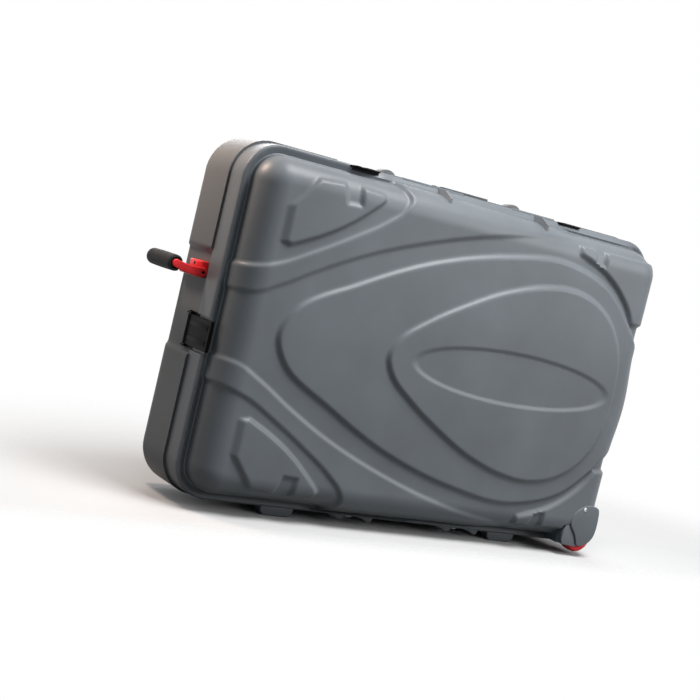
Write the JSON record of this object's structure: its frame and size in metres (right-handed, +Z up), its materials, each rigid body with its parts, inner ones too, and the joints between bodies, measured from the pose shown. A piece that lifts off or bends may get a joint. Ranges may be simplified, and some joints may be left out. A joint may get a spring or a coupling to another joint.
{
  "type": "bike travel case",
  "caption": "Hard clamshell travel case for a bicycle: relief-moulded lid and tray base hinged below, draw latches, folding tow and carry handles, corner wheels.",
  "frame": {"origin": "middle of the case's bounding box at floor level, under the seam between the halves", "axes": "+X along the case towards the wheels, +Y from the lid to the base, +Z up with the case standing on its feet"},
  "size_m": [1.1902, 0.276, 0.7669],
  "materials": {
    "shell_plastic": "satin moulded grey with a fine texture",
    "black_plastic": "satin black",
    "grey_plastic": "moulded grey, fine texture",
    "red_plastic": "bright red, satin gloss",
    "red_tyre": "red polyurethane, satin",
    "seal_rubber": "black",
    "grip_foam": "black closed-cell foam",
    "pad_foam": "dark grey foam",
    "webbing": "black woven webbing",
    "steel": "bright zinc",
    "bush_metal": "plain bearing"
  },
  "bodies": {
    "base": {"base_shell": "shell_plastic", "rim_seal": "seal_rubber", "hinge_left_base_leaf": "steel", "hinge_right_base_leaf": "steel", "hinge_left_pin": "steel", "hinge_right_pin": "steel", "hinge_base_screws": "steel", "latch_rivets": "steel", "carry_plate": "black_plastic", "carry_pins": "steel", "tow_bracket": "red_plastic", "tow_screws": "steel", "tow_pivot_pin": "steel", "foam_base": "pad_foam", "strap_left": "webbing", "strap_right": "webbing", "buckle_left": "black_plastic", "buckle_right": "black_plastic", "strap_anchors": "black_plastic", "wheel_base_fork": "grey_plastic", "wheel_base_cover": "grey_plastic", "wheel_base_cover_screw": "steel", "wheel_base_axle": "steel", "wheel_base_housing": "shell_plastic", "carry_tub": "shell_plastic", "latch_top_left_plate": "black_plastic", "latch_top_right_plate": "black_plastic", "latch_end_left_plate": "black_plastic", "latch_end_right_plate": "black_plastic", "latch_top_left_pin": "steel", "latch_top_right_pin": "steel", "latch_end_left_pin": "steel", "latch_end_right_pin": "steel"},
    "lid": {"lid_shell": "shell_plastic", "hinge_left_lid_leaf": "steel", "hinge_right_lid_leaf": "steel", "hinge_lid_screws": "steel", "foam_lid": "pad_foam", "wheel_lid_fork": "grey_plastic", "wheel_lid_cover": "grey_plastic", "wheel_lid_cover_screw": "steel", "wheel_lid_axle": "steel", "wheel_lid_housing": "shell_plastic"},
    "tow_handle": {"tow_arm_near": "red_plastic", "tow_arm_far": "red_plastic", "tow_grip_tube": "steel", "tow_grip_foam": "grip_foam"},
    "carry_handle": {"carry_handle": "grey_plastic"},
    "latch_top_left": {"latch_top_left_lever": "black_plastic"},
    "latch_top_right": {"latch_top_right_lever": "black_plastic"},
    "latch_end_left": {"latch_end_left_lever": "black_plastic"},
    "latch_end_right": {"latch_end_right_lever": "black_plastic"},
    "wheel_lid": {"wheel_lid_tyre": "red_tyre", "wheel_lid_hub": "red_plastic", "wheel_lid_bush": "bush_metal"},
    "wheel_base": {"wheel_base_tyre": "red_tyre", "wheel_base_hub": "red_plastic", "wheel_base_bush": "bush_metal"}
  },
  "joints": [
    {"name": "lid_hinge", "type": "hinge", "parent": "base", "child": "lid", "pos_m": [0.08505, 0, 0.007], "axis": [1, 0, 0], "range_deg": [0, 100]},
    {"name": "tow_handle_fold", "type": "hinge", "parent": "base", "child": "tow_handle", "pos_m": [-0.51695, 0.066, 0.467], "axis": [0, 1, 0], "range_deg": [-92, 0]},
    {"name": "carry_handle_lift", "type": "hinge", "parent": "base", "child": "carry_handle", "pos_m": [0.07005, 0.046, 0.7553], "axis": [-1, 0, 0], "range_deg": [0, 90]},
    {"name": "latch_top_left_lift", "type": "hinge", "parent": "base", "child": "latch_top_left", "pos_m": [-0.23995, 0.038, 0.749], "axis": [-1, 0, 0], "range_deg": [0, 100]},
    {"name": "latch_top_right_lift", "type": "hinge", "parent": "base", "child": "latch_top_right", "pos_m": [0.31805, 0.038, 0.749], "axis": [-1, 0, 0], "range_deg": [0, 100]},
    {"name": "latch_end_left_lift", "type": "hinge", "parent": "base", "child": "latch_end_left", "pos_m": [-0.50795, 0.038, 0.347], "axis": [0, 0, -1], "range_deg": [0, 100]},
    {"name": "latch_end_right_lift", "type": "hinge", "parent": "base", "child": "latch_end_right", "pos_m": [0.58805, 0.038, 0.347], "axis": [0, 0, 1], "range_deg": [0, 100]},
    {"name": "wheel_lid_spin", "type": "hinge", "parent": "lid", "child": "wheel_lid", "pos_m": [0.53505, -0.098, 0.048], "axis": [0, 1, 0], "continuous": true},
    {"name": "wheel_base_spin", "type": "hinge", "parent": "base", "child": "wheel_base", "pos_m": [0.53505, 0.098, 0.048], "axis": [0, 1, 0], "continuous": true}
  ]
}
